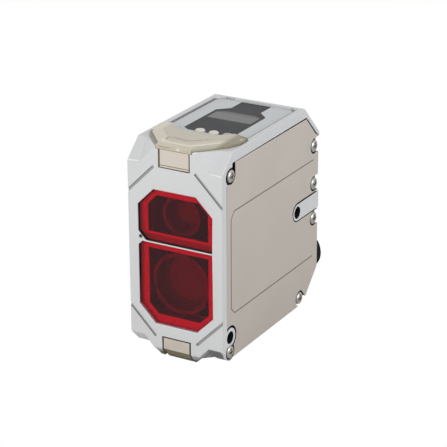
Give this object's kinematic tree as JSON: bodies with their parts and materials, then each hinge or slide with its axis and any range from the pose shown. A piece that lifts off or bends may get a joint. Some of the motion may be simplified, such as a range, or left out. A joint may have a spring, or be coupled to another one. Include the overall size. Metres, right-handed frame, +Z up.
{
  "type": "laser distance sensor",
  "caption": "Compact upright laser photoelectric sensor: die-cast case, red optical windows, indicator light guides, top display with keys, screwed side cover and rear round plug connector.",
  "frame": {"origin": "on the axis of the lower front mounting hole, at the middle of the case's width", "axes": "+X across the width towards the screwed side cover and along both mounting holes, -Y out of the two optical windows, +Z up through the control panel"},
  "size_m": [0.0278, 0.0676, 0.059],
  "materials": {
    "case_silver": "satin silver-grey finish on a die casting",
    "cover_steel": "fine bead-blasted stainless sheet with an engraved border",
    "screw_steel": "bright stainless pan heads",
    "gasket_rubber": "matt moulded seal",
    "window_red": "polished deep red acrylic",
    "guide_ivory": "translucent smoky ivory light guide",
    "panel_silver": "silver-grey printed sheet",
    "mask_black": "black printed sheet",
    "screen_grey": "smoked grey display window, unlit",
    "display_black": "display module, unlit",
    "button_white": "satin light grey key cap",
    "button_grey": "satin grey key cap",
    "switch_black": "black moulded tact switch",
    "board_green": "green solder mask",
    "sensor_black": "black chip package",
    "lens_clear": "polished moulded lens",
    "barrel_black": "black ribbed barrel",
    "diode_gold": "gold-plated can",
    "led_cream": "chip LED, unlit",
    "connector_black": "black finished threaded shell",
    "insert_black": "black contact carrier",
    "pin_gold": "gold-plated contact pins",
    "seal_rubber": "matt O-ring"
  },
  "bodies": {
    "case": {"housing": "case_silver", "side_cover": "cover_steel", "cover_gasket": "gasket_rubber", "cover_screw_front_top": "screw_steel", "cover_screw_front_low": "screw_steel", "cover_screw_rear_top": "screw_steel", "cover_screw_rear_upper": "screw_steel", "cover_screw_rear_mid": "screw_steel", "cover_screw_rear_low": "screw_steel", "window_upper": "window_red", "window_lower": "window_red", "light_guide_top": "guide_ivory", "light_guide_low": "guide_ivory", "control_panel": "panel_silver", "display_mask": "mask_black", "display_window": "screen_grey", "display_module": "display_black", "button_switches": "switch_black", "display_board": "board_green", "main_board": "board_green", "sensor_board": "board_green", "image_sensor": "sensor_black", "receiver_lens": "lens_clear", "receiver_barrel": "barrel_black", "emitter_barrel": "barrel_black", "emitter_lens": "lens_clear", "laser_diode": "diode_gold", "laser_board": "board_green", "top_led_board": "board_green", "top_leds": "led_cream", "low_led_board": "board_green", "low_led": "led_cream", "connector_shell": "connector_black", "connector_insert": "insert_black", "connector_pins": "pin_gold", "connector_seal": "seal_rubber"},
    "button_left": {"button_left": "button_white"},
    "button_middle": {"button_middle": "button_white"},
    "button_right": {"button_right": "button_grey"}
  },
  "joints": [
    {"name": "button_left_press", "type": "slide", "parent": "case", "child": "button_left", "axis": [0, 0, -1], "range_m": [0, 0.0004], "stiffness_N_per_m": 400},
    {"name": "button_middle_press", "type": "slide", "parent": "case", "child": "button_middle", "axis": [0, 0, -1], "range_m": [0, 0.0004], "stiffness_N_per_m": 400},
    {"name": "button_right_press", "type": "slide", "parent": "case", "child": "button_right", "axis": [0, 0, -1], "range_m": [0, 0.0004], "stiffness_N_per_m": 400}
  ]
}
